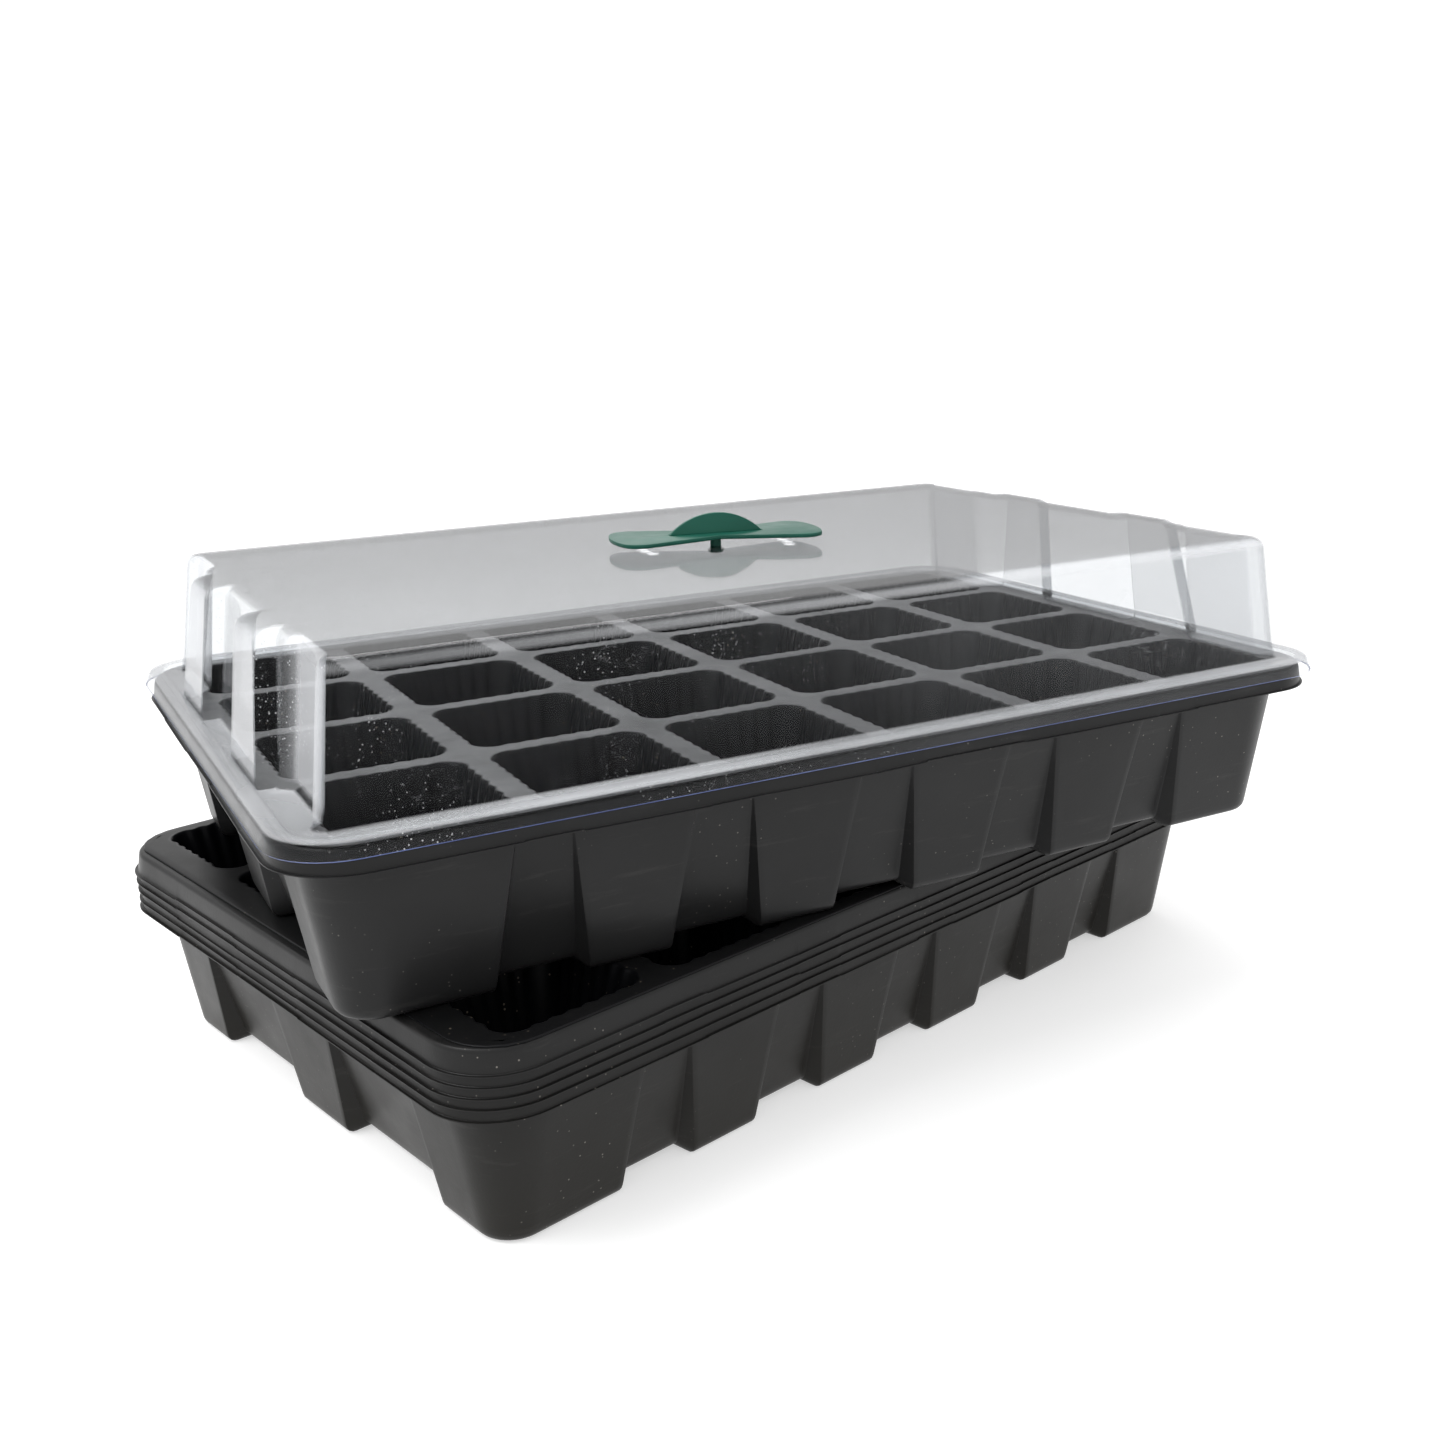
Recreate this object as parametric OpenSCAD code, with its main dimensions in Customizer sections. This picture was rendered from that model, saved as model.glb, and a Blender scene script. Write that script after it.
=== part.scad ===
// Propagation set: a clear vented dome over a 24-cell insert in a drip tub,
// set down slantwise on a stack of five nested tubs that carries a spare insert.
// Millimetres. X runs along the upper tub, Y to its back, Z up from the ground.
// The origin is on the ground at the middle of the stack.

/* [Stack] */
// Height between two nested tubs
nest_pitch = 3.5; // [3:0.1:8]
// How far the stack is turned under the upper tub, degrees
stack_turn = 14.3; // [0:0.1:30]
// Centre of the upper unit along X
upper_x = -2.9; // [-20:0.1:20]
// Centre of the upper unit along Y
upper_y = -21.2; // [-30:0.1:30]

/* [Tub] */
// Length over the lip
lip_l = 380; // [300:1:600]
// Width over the lip
lip_w = 241.5; // [180:0.5:400]
// Corner radius of the lip
lip_r = 24; // [10:1:40]
// Height of the lip's underside above the feet
lip_z = 50; // [30:1:80]
// Height of the rim's flat top above the feet
rim_z = 57.4; // [35:0.1:90]
// Thickness of the thermoformed walls
wall = 0.3; // [0.2:0.05:0.3]
// Half length over the end walls at the rim
rim_x = 182.8; // [140:0.2:290]
// Half width over the side walls at the rim
rim_y = 114.2; // [90:0.2:190]
// Half length over the end walls at the floor
floor_x = 168; // [120:0.5:280]
// Half width over the side walls at the floor
floor_y = 99.5; // [70:0.5:180]
// Underside of the floor above the feet
floor_z = 2; // [1:0.5:10]
// Corner radius of the walls at the rim
wall_r = 22; // [10:1:40]
// Half length over the feet on the ground
foot_x = 173.5; // [120:0.5:290]
// Half width over the feet on the ground
foot_y = 104.5; // [70:0.5:190]
// Corner radius of the corner feet on the ground
foot_r = 12; // [4:1:20]
// Spacing of the feet along the side
foot_pitch_x = 58; // [40:0.5:90]
// Width of a side foot on the ground
foot_w = 25.5; // [12:0.5:40]
// Width of an end foot on the ground
foot_w_end = 28.5; // [12:0.5:40]
// Length of a corner foot along the side
corner_l = 43; // [20:0.5:70]
// Length of a corner foot along the end
corner_w = 30.5; // [20:0.5:60]

/* [Insert] */
// Length of the insert's sheet
sheet_l = 369; // [280:1:580]
// Width of the insert's sheet
sheet_w = 236; // [170:1:390]
// Thickness of the insert's sheet
sheet_t = 0.5; // [0.3:0.05:1.2]
// Cells along X
cells_x = 6; // [3:1:10]
// Cells along Y
cells_y = 4; // [2:1:6]
// Cell pitch along X
cell_pitch_x = 59; // [40:0.5:80]
// Cell pitch along Y
cell_pitch_y = 57.6; // [40:0.1:80]
// Cell opening across flats at the sheet
cell_top = 50.8; // [30:0.2:70]
// Cell width across flats at its bottom
cell_bottom = 29; // [15:0.5:50]
// Cell depth below the sheet's top
cell_depth = 46; // [25:1:60]

/* [Dome] */
// Thickness of the clear sheet
clear = 0.5; // [0.3:0.05:1.2]
// Length over the skirt's lower edge
skirt_l = 380.6; // [310:0.2:610]
// Width over the skirt's lower edge
skirt_w = 243.2; // [190:0.2:410]
// Corner radius of the skirt's lower edge
skirt_r = 22; // [8:1:40]
// Half length of the dome's walls at the shelf
base_x = 176.5; // [120:0.5:290]
// Half width of the dome's walls at the shelf
base_y = 106.8; // [70:0.1:190]
// Half length of the dome's flat top
top_x = 169.5; // [110:0.5:280]
// Half width of the dome's flat top
top_y = 103.1; // [60:0.1:180]
// Height of the dome's flat top above its shelf
dome_h = 44.7; // [25:0.1:120]
// How far the end ribs stand out from the end wall at the shelf
rib_out = 8.5; // [3:0.5:10]

/* [Vent] */
// Tip radius of the two-lobed vent plate
vent_r = 39; // [20:0.5:60]
// Half angle of one lobe, degrees
lobe_angle = 18; // [15:1:40]
// Thickness of the vent plate
vent_t = 1.5; // [1:0.1:3]
// Gap between the dome's top and the vent plate
vent_gap = 3.1; // [0.5:0.1:6]
// Radius of the vent's stem
stem_r = 2; // [1:0.05:4]
// Direction of the lobes from X, degrees
vent_turn = -12; // [-90:1:90]

/* [Hidden] */
eps = 0.01;
// Air between two pieces that rest on each other.
air = 0.05;

// The feet die out into the wall at this height.
foot_top = 52;
// Outward lean of the walls, from the floor to the rim, per millimetre of height.
lean_x = (rim_x - floor_x) / (rim_z - floor_z);
lean_y = (rim_y - floor_y) / (rim_z - floor_z);
// The feet's faces lean less, so that they meet the walls at foot_top.
foot_lean_x = (floor_x + lean_x * (foot_top - floor_z) - foot_x) / foot_top;
foot_lean_y = (floor_y + lean_y * (foot_top - floor_z) - foot_y) / foot_top;
// How much wider a foot's face is on each side at foot_top than on the ground.
foot_flare = 7;
// A foot also widens behind its face: [depth, widening on each side], on the ground and at its knee.
sole_back = [9, 5];
knee_front = [2, 1.5];
knee_back = [12, 7];
knee_z = 4;

// The lip stands out from the band that hangs from the rim, and the band leans in by band_in.
lip_out = 1.6;
band_in = 1.2;
// Corner radius of the floor, hidden behind the corner feet.
floor_r = 7;

sheet_r = 18;
cell_cut_top = 6;
cell_cut_bottom = 2.5;
cell_wall = 0.4;
drain_r = 4;

// Heights of the upper unit, each piece standing on the one below.
sheet_z = rim_z + air;
upper_z = 4 * nest_pitch + sheet_z + sheet_t + air;
shelf_z = upper_z + sheet_z + sheet_t + air;
top_z = shelf_z + clear + dome_h;

// The raised border around the dome's shelf, and the skirt that hangs from it.
border_w = 6.2;
border_h = 1.5;
border_r = 11;
skirt_h = 4.1;
skirt_in = 1.4;
shelf_x = skirt_l / 2 - skirt_in - border_w;
shelf_y = skirt_w / 2 - skirt_in - border_w;
// Corner radii of the dome's walls, from the shelf to the flat top.
base_r = 4.5;
shoulder_r = 4.5;
top_r = 3.5;
// The rounded shoulder under the flat top: its height, and its width along X and Y.
shoulder_h = 3;
shoulder_x = 2.5;
shoulder_y = 2.6;
// The ribs' middle and half width along the end wall, at the shelf, at the shoulder and at the top.
rib_base = [43, 17];
rib_shoulder = [38, 14];
rib_top = [37, 11];
// The ribs' height under the top where their upper chamfer starts, and how far it goes back.
rib_chamfer_h = 4;
rib_chamfer = 3;
// How much less the ribs stand out at the top, and how far they reach back into the dome.
rib_lean = 1.5;
rib_back = 20;

// The vent's eight holes in the dome, in two fans of four.
hole_r = 2.4;
hole_ring = 27;
hole_angles = [-18, -6, 6, 18];
pivot_r = stem_r + 0.1;
waist = 7;
lobe_r = 7;
grip_r = 24.4;
grip_h = 7.6;
grip_t = 1.8;
clip_r = stem_r + 0.9;
clip_h = 1.5;
stem_low = 2.4;

black = [0.12, 0.12, 0.125];
glass = [0.85, 0.9, 0.93, 0.35];
green = [0.02, 0.42, 0.28, 0.9];

// A thin slab with rounded corners, for hulls.
module slab(hx, hy, r, z) {
    translate([0, 0, z])
        linear_extrude(height = eps)
            union() {
                square([2 * hx, 2 * (hy - r)], center = true);
                square([2 * (hx - r), 2 * hy], center = true);
                for (sx = [-1, 1], sy = [-1, 1])
                    translate([sx * (hx - r), sy * (hy - r)])
                        circle(r = r, $fn = 24);
            }
}

// A solid between two rounded rectangles, lower and upper, each [half x, half y, radius, z].
module loft(a, b) {
    hull() {
        slab(a[0], a[1], a[2], a[3]);
        slab(b[0], b[1], b[2], b[3] - eps);
    }
}

// A slab of any outline, for hulls.
module plate(points, z) {
    translate([0, 0, z])
        linear_extrude(height = eps)
            polygon(points);
}

// A slice through a foot on the -Y side: its face at y = -reach is 2w wide. front and back are
// [depth behind the face, widening on each side].
function foot_slice(w, reach, front, back) = [
    [-w - front[1], -reach + front[0]],
    [w + front[1], -reach + front[0]],
    [w + back[1], -reach + back[0]],
    [-w - back[1], -reach + back[0]]
];

// A foot on the -Y side at x = 0. in moves every face in by the wall.
module foot(in, foot_reach, lean, width) {
    w = width / 2 - in;
    reach = foot_reach - in;
    hull() {
        plate(foot_slice(w, reach, [-lean * in, 0], sole_back), in);
        plate(foot_slice(w, reach, knee_front, knee_back), in + knee_z);
        plate(foot_slice(w, reach, [-lean * foot_top, foot_flare], [0, foot_flare]), foot_top);
    }
}

// A quarter of a rounded outline around the -X -Y corner.
function corner(x, y, r) = [
    for (a = [180 : 15 : 270]) [-x + r + r * cos(a), -y + r + r * sin(a)]
];

// A slice through the corner foot. inner holds where its two faces end, x and y its faces.
function corner_slice(inner, x, y, r, flare, back) = concat(
    [[-x, -inner[1] + flare]],
    corner(x, y, r),
    [[-inner[0] + flare, -y]],
    [[-inner[0] + flare + back[1], -y + back[0]]],
    [[-x + back[0], -inner[1] + flare + back[1]]]
);

// The foot in the -X -Y corner, which runs around both walls.
module corner_foot(in) {
    inner = [foot_x - corner_l + in, foot_y - corner_w + in];
    x = foot_x - in;
    y = foot_y - in;
    top_x = x + foot_lean_x * foot_top;
    top_y = y + foot_lean_y * foot_top;
    hull() {
        plate(corner_slice(inner, x + foot_lean_x * in, y + foot_lean_y * in, foot_r - in, 0, sole_back), in);
        plate(corner_slice(inner, x - knee_front[0], y - knee_front[0], foot_r - in, knee_front[1],
                           knee_back - knee_front), in + knee_z);
        plate(corner_slice(inner, top_x, top_y, wall_r - in, foot_flare, [foot_lean_y * foot_top, 0]),
              foot_top);
    }
}

// Everything inside the tub's walls, with every face moved in by in.
module tub_form(in, top) {
    loft([floor_x - in + lean_x * in, floor_y - in + lean_y * in, floor_r - in, floor_z + in],
         [floor_x - in + lean_x * (top - floor_z), floor_y - in + lean_y * (top - floor_z),
          wall_r - in, top]);
    for (s = [0, 1])
        mirror([0, s, 0]) {
            for (k = [-1.5 : 1 : 1.5])
                translate([k * foot_pitch_x, 0, 0]) foot(in, foot_y, foot_lean_y, foot_w);
            for (m = [0, 1])
                mirror([m, 0, 0]) corner_foot(in);
        }
    for (a = [90, -90])
        rotate([0, 0, a]) foot(in, foot_x, foot_lean_x, foot_w_end);
}

// The band that hangs from the rim, outer faces moved in by in.
module band_form(in, top) {
    x = lip_l / 2 - lip_out;
    y = lip_w / 2 - lip_out;
    r = lip_r - lip_out;
    d = in + band_in * (top - lip_z) / (rim_z - lip_z);
    loft([x, y, r, lip_z - in], [x - d, y - d, r - d, top]);
}

// One thermoformed drip tub, standing on its feet at z = 0.
module tub() {
    difference() {
        union() {
            difference() {
                union() {
                    translate([0, 0, lip_z])
                        loft([lip_l / 2, lip_w / 2, lip_r, 0], [lip_l / 2, lip_w / 2, lip_r, wall]);
                    band_form(0, rim_z);
                }
                band_form(wall, rim_z - wall);
            }
            tub_form(0, rim_z);
        }
        tub_form(wall, rim_z + 1);
    }
}

// An octagon: a square with cut corners.
function octagon(h, c) = [[-h, -h + c], [-h + c, -h], [h - c, -h], [h, -h + c],
                          [h, h - c], [h - c, h], [-h + c, h], [-h, h - c]];

// One tapered cell, from its bottom to the given top, faces moved out by out.
module cell(out, low, high) {
    run = (cell_top - cell_bottom) / 2 / cell_depth;
    low_half = cell_bottom / 2 + out + run * (low + cell_depth - sheet_t);
    high_half = cell_top / 2 + out + run * (high - sheet_t);
    hull() {
        plate(octagon(low_half, cell_cut_bottom), low);
        plate(octagon(high_half, cell_cut_top), high - eps);
    }
}

// The insert's flat sheet, with rounded corners.
module sheet() {
    x = sheet_l / 2;
    y = sheet_w / 2;
    linear_extrude(height = sheet_t)
        polygon(concat(corner(x, y, sheet_r),
                       [for (p = corner(y, x, sheet_r)) [-p[1], p[0]]],
                       [for (p = corner(x, y, sheet_r)) -p],
                       [for (p = corner(y, x, sheet_r)) [p[1], -p[0]]]));
}

// The 24-cell insert, with its sheet's underside at z = 0 and a drain hole in each cell.
module insert() {
    cell_z = sheet_t - cell_depth;
    difference() {
        union() {
            sheet();
            cells() cell(cell_wall, cell_z - cell_wall, sheet_t - 0.1);
        }
        cells() cell(0, cell_z, sheet_t + 1);
        cells() translate([0, 0, cell_z - 1]) cylinder(r = drain_r, h = 2, $fn = 8);
    }
}

// Puts its child at every cell centre.
module cells() {
    for (i = [0 : cells_x - 1], j = [0 : cells_y - 1])
        translate([(i - (cells_x - 1) / 2) * cell_pitch_x, (j - (cells_y - 1) / 2) * cell_pitch_y, 0])
            children();
}

// A thin plate across a rib, from inside the dome out to reach. span is [middle, half width].
module rib_plate(reach, inside, span, side, in, z) {
    translate([inside, side * span[0] - span[1] + in, z])
        cube([reach - inside, 2 * (span[1] - in), eps]);
}

// The two upright ribs of the dome's end wall, on the +X side.
module end_ribs(in) {
    base_reach = base_x + rib_out - in;
    top_reach = top_x + rib_out - rib_lean - in;
    for (side = [-1, 1])
        hull() {
            rib_plate(base_reach, base_x - rib_back, rib_base, side, in, shelf_z - in);
            rib_plate(top_reach, top_x - rib_back, rib_shoulder, side, in, top_z - in - rib_chamfer_h);
            rib_plate(top_reach - rib_chamfer, top_x - rib_back, rib_top, side, in, top_z - in - eps);
        }
}

// Everything inside the dome's walls, faces moved in by in.
module dome_form(in) {
    x = top_x - in - 1.5;
    y = top_y - in - 2;
    shoulder = [x + shoulder_x, y + shoulder_y, shoulder_r - in, top_z - in - shoulder_h];
    loft([base_x - in, base_y - in, base_r - in, shelf_z - in], shoulder);
    loft(shoulder - [0, 0, 0, eps], [x, y, top_r - in, top_z - in]);
    for (m = [0, 1])
        mirror([m, 0, 0]) end_ribs(in);
}

// The skirt and raised border, faces moved in by in.
module border_form(in) {
    x = skirt_l / 2 - in;
    y = skirt_w / 2 - in;
    r = skirt_r - in;
    z = shelf_z + clear + border_h - in;
    loft([x, y, r, z - border_h - skirt_h - clear], [x - skirt_in, y - skirt_in, r - skirt_in, z]);
}

// Everything over the shelf inside the raised border, from the height z up, wider by out.
module shelf_form(out, z) {
    loft([shelf_x + out, shelf_y + out, border_r, z], [shelf_x + out, shelf_y + out, border_r, top_z]);
}

// The clear dome: walls, shelf, raised border and skirt, with a pivot hole and eight vent holes.
module dome() {
    difference() {
        union() {
            difference() {
                border_form(0);
                difference() {
                    border_form(clear);
                    shelf_form(clear, shelf_z);
                }
                shelf_form(0, shelf_z + clear);
            }
            dome_form(0);
        }
        dome_form(clear);
        translate([0, 0, top_z - 5]) cylinder(r = pivot_r, h = 10, $fn = 48);
        for (s = [0, 180], a = hole_angles)
            rotate([0, 0, vent_turn + s + a])
                translate([hole_ring, 0, top_z - 5]) cylinder(r = hole_r, h = 10, $fn = 24);
    }
}

// Outline of one lobe: a fan with round corners that starts waist wide on each side of the axis.
module lobe() {
    reach = vent_r + 10;
    spread = waist + reach * tan(lobe_angle);
    offset(r = lobe_r, $fn = 48)
        offset(delta = -lobe_r + eps)
            intersection() {
                circle(r = vent_r, $fn = 96);
                polygon([[-lobe_r, -waist], [0, -waist], [reach, -spread],
                         [reach, spread], [0, waist], [-lobe_r, waist]]);
            }
}

// The thumb grip: a segment of a disc, standing on the plate.
module grip() {
    rotate([90, 0, 0])
        linear_extrude(height = grip_t)
            intersection() {
                translate([0, grip_h + 0.2 - grip_r]) circle(r = grip_r, $fn = 96);
                translate([-grip_r, 0]) square([2 * grip_r, 2 * grip_h]);
            }
}

// The vent: a two-lobed plate with an upright thumb grip, turning on a stem clipped through the dome.
module vent() {
    plate_z = top_z + vent_gap;
    translate([0, 0, plate_z])
        linear_extrude(height = vent_t) {
            lobe();
            rotate([0, 0, 180]) lobe();
        }
    translate([0, grip_t / 2, plate_z + vent_t - 0.2]) grip();
    translate([0, 0, top_z - stem_low]) cylinder(r = stem_r, h = stem_low + vent_gap + 0.2);
    translate([0, 0, top_z - stem_low]) cylinder(r = clip_r, h = clip_h);
}

// Places a child in the stack, at the height of its k-th tub.
module stacked(k) {
    translate([0, 0, k * nest_pitch])
        rotate([0, 0, stack_turn])
            children();
}

// Places a child on the upper unit's axis, at the height z above the ground.
module upper(z) {
    translate([upper_x, upper_y, z]) children();
}

module tub_1() { color(black) stacked(0) tub(); }
module tub_2() { color(black) stacked(1) tub(); }
module tub_3() { color(black) stacked(2) tub(); }
module tub_4() { color(black) stacked(3) tub(); }
module tub_5() { color(black) stacked(4) tub(); }
module insert_stack() { color(black) stacked(4) translate([0, 0, sheet_z]) insert(); }
module tub_upper() { color(black) upper(upper_z) tub(); }
module insert_upper() { color(black) upper(upper_z + sheet_z) insert(); }
module clear_dome() { color(glass) upper(0) dome(); }
module vent_rotor() { color(green) upper(0) rotate([0, 0, vent_turn]) vent(); }

tub_1();
tub_2();
tub_3();
tub_4();
tub_5();
insert_stack();
tub_upper();
insert_upper();
clear_dome();  // dome
vent_rotor();  // vent
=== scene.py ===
import math

import bmesh
import bpy
import numpy as np
from mathutils import Matrix, Vector, geometry


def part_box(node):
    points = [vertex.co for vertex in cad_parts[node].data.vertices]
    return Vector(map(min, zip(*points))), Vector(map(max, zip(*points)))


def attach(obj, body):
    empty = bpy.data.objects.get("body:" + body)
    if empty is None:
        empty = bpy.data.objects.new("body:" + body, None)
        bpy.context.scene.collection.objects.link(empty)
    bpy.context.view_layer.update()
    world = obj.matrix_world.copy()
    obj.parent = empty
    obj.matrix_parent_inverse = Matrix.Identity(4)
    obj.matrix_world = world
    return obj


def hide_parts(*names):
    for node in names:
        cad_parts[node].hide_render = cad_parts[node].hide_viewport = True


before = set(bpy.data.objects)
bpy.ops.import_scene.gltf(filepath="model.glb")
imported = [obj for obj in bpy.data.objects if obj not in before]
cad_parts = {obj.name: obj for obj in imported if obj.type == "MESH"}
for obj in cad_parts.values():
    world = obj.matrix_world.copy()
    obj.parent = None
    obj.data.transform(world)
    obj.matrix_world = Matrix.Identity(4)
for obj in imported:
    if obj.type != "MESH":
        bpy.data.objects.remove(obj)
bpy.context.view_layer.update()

# ---------------------------------------------------------------- sizes, in millimetres
MM = 0.001
NEST_PITCH = 3.5
# How far the stack is turned under the upper unit, and the air between two pieces at rest.
STACK_TURN = math.radians(14.3)
SHEET_GAP = 0.05

# The tub: half sizes of its walls at the floor, of its feet on the ground, of its rim and of its lip.
WALL = 0.3
FLOOR_X, FLOOR_Y, FLOOR_Z = 168.0, 99.5, 2.0
FOOT_X, FOOT_Y, FOOT_TOP = 173.5, 104.5, 52.0
RIM_X, RIM_Y, RIM_Z = 182.8, 114.2, 57.4
LIP_X, LIP_Y, LIP_Z, LIP_R = 190.0, 120.75, 50.0, 24.0
FOOT_PITCH_X = 58.0
FOOT_HALF_X, FOOT_HALF_Y = 12.75, 14.25
CORNER_IN_X, CORNER_IN_Y = 130.5, 74.0
FOOT_R, WALL_R = 12.0, 22.0
FOOT_FLARE = 7.0
FOOT_STEP = 3.2
FOOT_FILLET = 3.0

# The insert: its sheet, and its cells in six columns and four rows.
SHEET_X, SHEET_Y, SHEET_R, SHEET_T = 184.5, 118.0, 18.0, 0.5
COLUMNS, ROWS = 6, 4
PITCH_X, PITCH_Y = 59.0, 57.6
CELL_TOP, CELL_BOTTOM, CELL_DEPTH = 25.4, 14.5, 46.0
FLUTES = 6
FLUTE_DEEP = 0.85
DRAIN_R = 4.0

# The dome: its shelf, skirt, walls and the two upright ribs of each end.
CLEAR = 0.5
SKIRT_X, SKIRT_Y, SKIRT_R = 190.3, 121.6, 22.0
BASE_X, BASE_Y = 176.5, 106.8
TOP_X, TOP_Y = 169.5, 103.1
DOME_R = 4.0
BORDER_W, BORDER_H, SKIRT_H = 6.2, 1.5, 4.1

# The vent: its plate's tip radius, thickness and gap above the dome, its lobes, grip, stem and holes.
VENT_R, VENT_T, VENT_GAP = 39.0, 1.5, 3.1
VENT_TURN = math.radians(-12)
LOBE_ANGLE = math.radians(18)
LOBE_R, WAIST = 7.0, 7.0
GRIP_R, GRIP_H, GRIP_T = 24.4, 7.6, 1.8
STEM_R = 2.0
HOLE_R, HOLE_OUT = 2.4, 27.0

# Heights of the upper unit, worked up from the ground as its pieces stand on each other.
SHEET_Z = RIM_Z + SHEET_GAP
UPPER_Z = 4 * NEST_PITCH + SHEET_Z + SHEET_T + SHEET_GAP
SHELF_Z = UPPER_Z + SHEET_Z + SHEET_T + SHEET_GAP
low, high = (np.array(corner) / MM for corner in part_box("dome"))
UPPER = (low + high)[:2] / 2
TOP_Z = high[2]

# Edges sharper than this keep a crease in the shading.
SHARP = math.radians(38)


# ---------------------------------------------------------------- mesh helpers
def mix(a, b, t):
    """From a, where t is 0, to b, where it is 1."""
    return a + (b - a) * t


def ripple(n, seed, terms=15):
    """A smooth closed wave of n samples, at most about 1 high."""
    rng = np.random.default_rng(seed)
    angle = np.linspace(0, 2 * math.pi, n, endpoint=False)
    wave = np.zeros(n)
    for k in range(terms):
        wave += rng.normal() * np.sin((k + 2) * angle + rng.uniform(0, 2 * math.pi))
    return wave / max(abs(wave).max(), 1e-6)


def grid_normals(rings):
    """Unit normals of a grid of closed rings."""
    along = np.roll(rings, -1, 1) - np.roll(rings, 1, 1)
    across = np.gradient(rings, axis=0)
    normal = np.cross(along, across)
    return normal / np.maximum(np.linalg.norm(normal, axis=2, keepdims=True), 1e-9)


def ring_faces(count_rings, count, start, flip=False):
    """Quads between closed rings of equal length, numbered from start."""
    faces = []
    for i in range(count_rings - 1):
        for j in range(count):
            k = (j + 1) % count
            here, after = start + i * count, start + (i + 1) * count
            quad = (here + j, here + k, after + k, after + j)
            faces.append(quad[::-1] if flip else quad)
    return faces


def make_object(name, verts, faces, place, materials, marks=None):
    """A smooth-shaded mesh object from millimetres. place moves points into the part's frame."""
    mesh = bpy.data.meshes.new(name)
    mesh.from_pydata((place(np.asarray(verts, float)) * MM).tolist(), [], faces)
    for material in materials:
        mesh.materials.append(material)
    if marks is not None:
        mesh.polygons.foreach_set("material_index", np.asarray(marks, dtype=np.int32))
    mesh.polygons.foreach_set("use_smooth", np.ones(len(mesh.polygons), dtype=bool))
    mesh.set_sharp_from_angle(angle=SHARP)
    mesh.validate()
    piece = bpy.data.objects.new(name, mesh)
    bpy.context.scene.collection.objects.link(piece)
    return piece


def in_stack(level):
    """Places points of a piece that sits in the stack, level tubs up."""
    c, s = math.cos(STACK_TURN), math.sin(STACK_TURN)

    def place(p):
        return np.stack([c * p[:, 0] - s * p[:, 1], s * p[:, 0] + c * p[:, 1], p[:, 2] + level], 1)

    return place


def in_upper(level):
    """Places points of a piece of the upper unit."""

    def place(p):
        return p + np.array([UPPER[0], UPPER[1], level])

    return place


# ---------------------------------------------------------------- the tub
# Where the points of a flat face and of a foot's flank lie along it, and how far the flank has come out.
PANEL = [0.0, 0.06, 0.28, 0.5, 0.72, 0.94, 1.0]
SIDE = [0.0, 0.12, 0.3, 0.7, 0.88, 1.0]
SIDE_MASK = [0.0, 0.03, 0.25, 0.75, 0.97, 1.0]
ARC = 12


def stations(z, limit, centres, half, corner_edge):
    """Places along one wall at height z, and how far each stands out as part of a foot, from 0 to 1."""
    rise = min(max(z, 0), FOOT_TOP) / FOOT_TOP
    flare = FOOT_FLARE * rise
    step = FOOT_STEP * (1 - rise) + 0.35
    edge = corner_edge - flare
    knots = [(-limit, 1), (-edge, 1), (-edge + step, 0)]
    for c in centres:
        w = half + flare
        knots += [(c - w - step, 0), (c - w, 1), (c + w, 1), (c + w + step, 0)]
    knots += [(edge - step, 0), (edge, 1), (limit, 1)]
    places, masks = [], []
    for (a, ma), (b, mb) in zip(knots, knots[1:]):
        parts = PANEL if ma == mb else SIDE
        for t in parts[:-1]:
            places.append(mix(a, b, t))
            blend = t if ma == mb else np.interp(t, SIDE, SIDE_MASK)
            masks.append(mix(ma, mb, blend))
    places.append(knots[-1][0])
    masks.append(1)
    return np.array(places), np.array(masks, float)


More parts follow.
